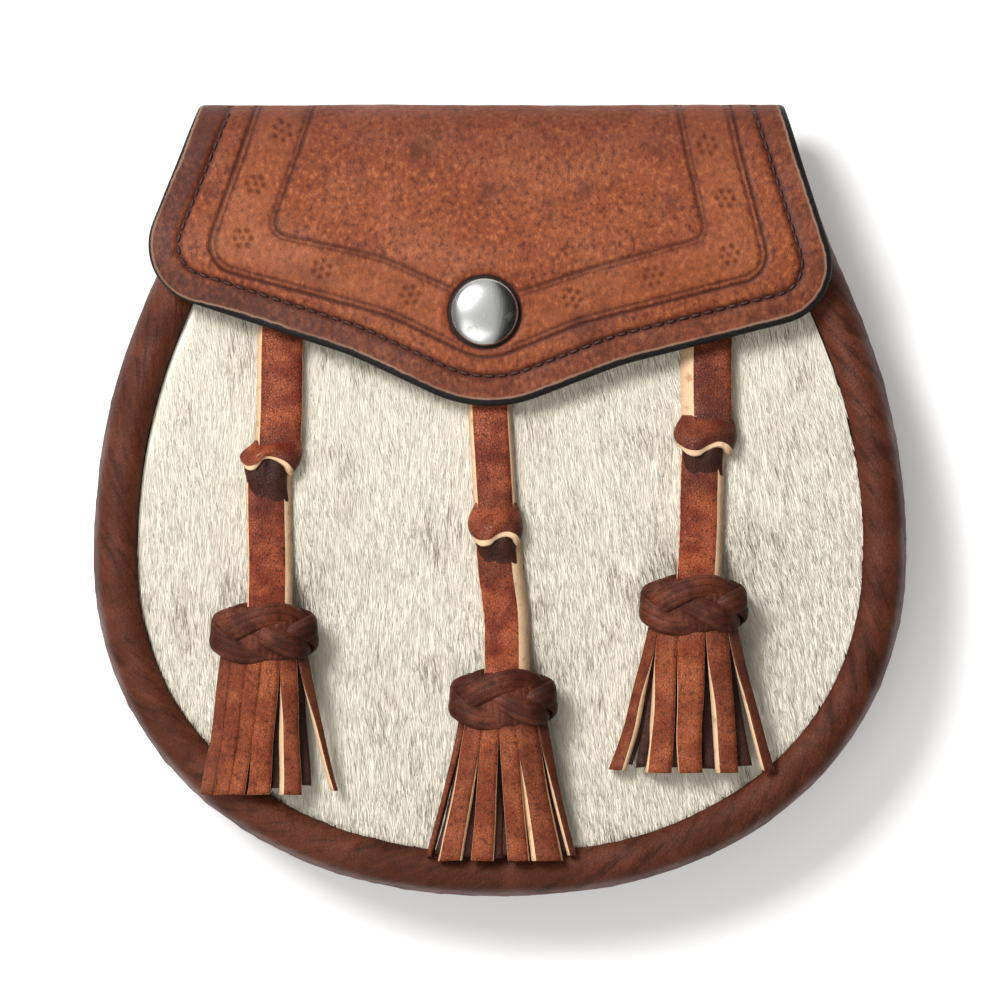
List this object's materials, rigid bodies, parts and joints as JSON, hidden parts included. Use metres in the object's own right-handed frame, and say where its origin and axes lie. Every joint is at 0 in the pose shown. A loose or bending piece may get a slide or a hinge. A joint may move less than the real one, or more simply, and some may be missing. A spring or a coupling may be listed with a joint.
{
  "type": "sporran pouch",
  "caption": "Round leather belt pouch with a tooled flap on a dome snap, a hair-on-hide front inside a rolled rim, and knotted straps ending in fringed tassels.",
  "frame": {"origin": "on the table under the middle of the pouch: bottom centre of its bounding box", "axes": "the pouch lies on its back: +X to the right of somebody looking at its front, +Y up the pouch to the fold of the flap, +Z out of the front"},
  "size_m": [0.1806, 0.1758, 0.0458],
  "materials": {
    "tan_leather": "tooled vegetable-tanned leather, mottled russet, satin",
    "rim_leather": "dark brown soft leather, satin",
    "strap_leather": "pebbled red-brown leather, satin, pale cut edges",
    "braid_leather": "dark brown braided lace, satin",
    "hide": "short cream hair on hide, matt",
    "snap_metal": "satin nickel plate"
  },
  "bodies": {
    "root": {"back_and_flap": "tan_leather", "gusset": "rim_leather", "hide_front": "hide", "snap_cap": "snap_metal", "snap_stud": "snap_metal", "strap_left": "strap_leather", "strap_middle": "strap_leather", "strap_right": "strap_leather", "tassel_head_left": "braid_leather", "tassel_head_middle": "braid_leather", "tassel_head_right": "braid_leather", "tassel_fringe_left": "strap_leather", "tassel_fringe_middle": "strap_leather", "tassel_fringe_right": "strap_leather", "belt_loop_left": "rim_leather", "belt_loop_right": "rim_leather"}
  },
  "joints": []
}
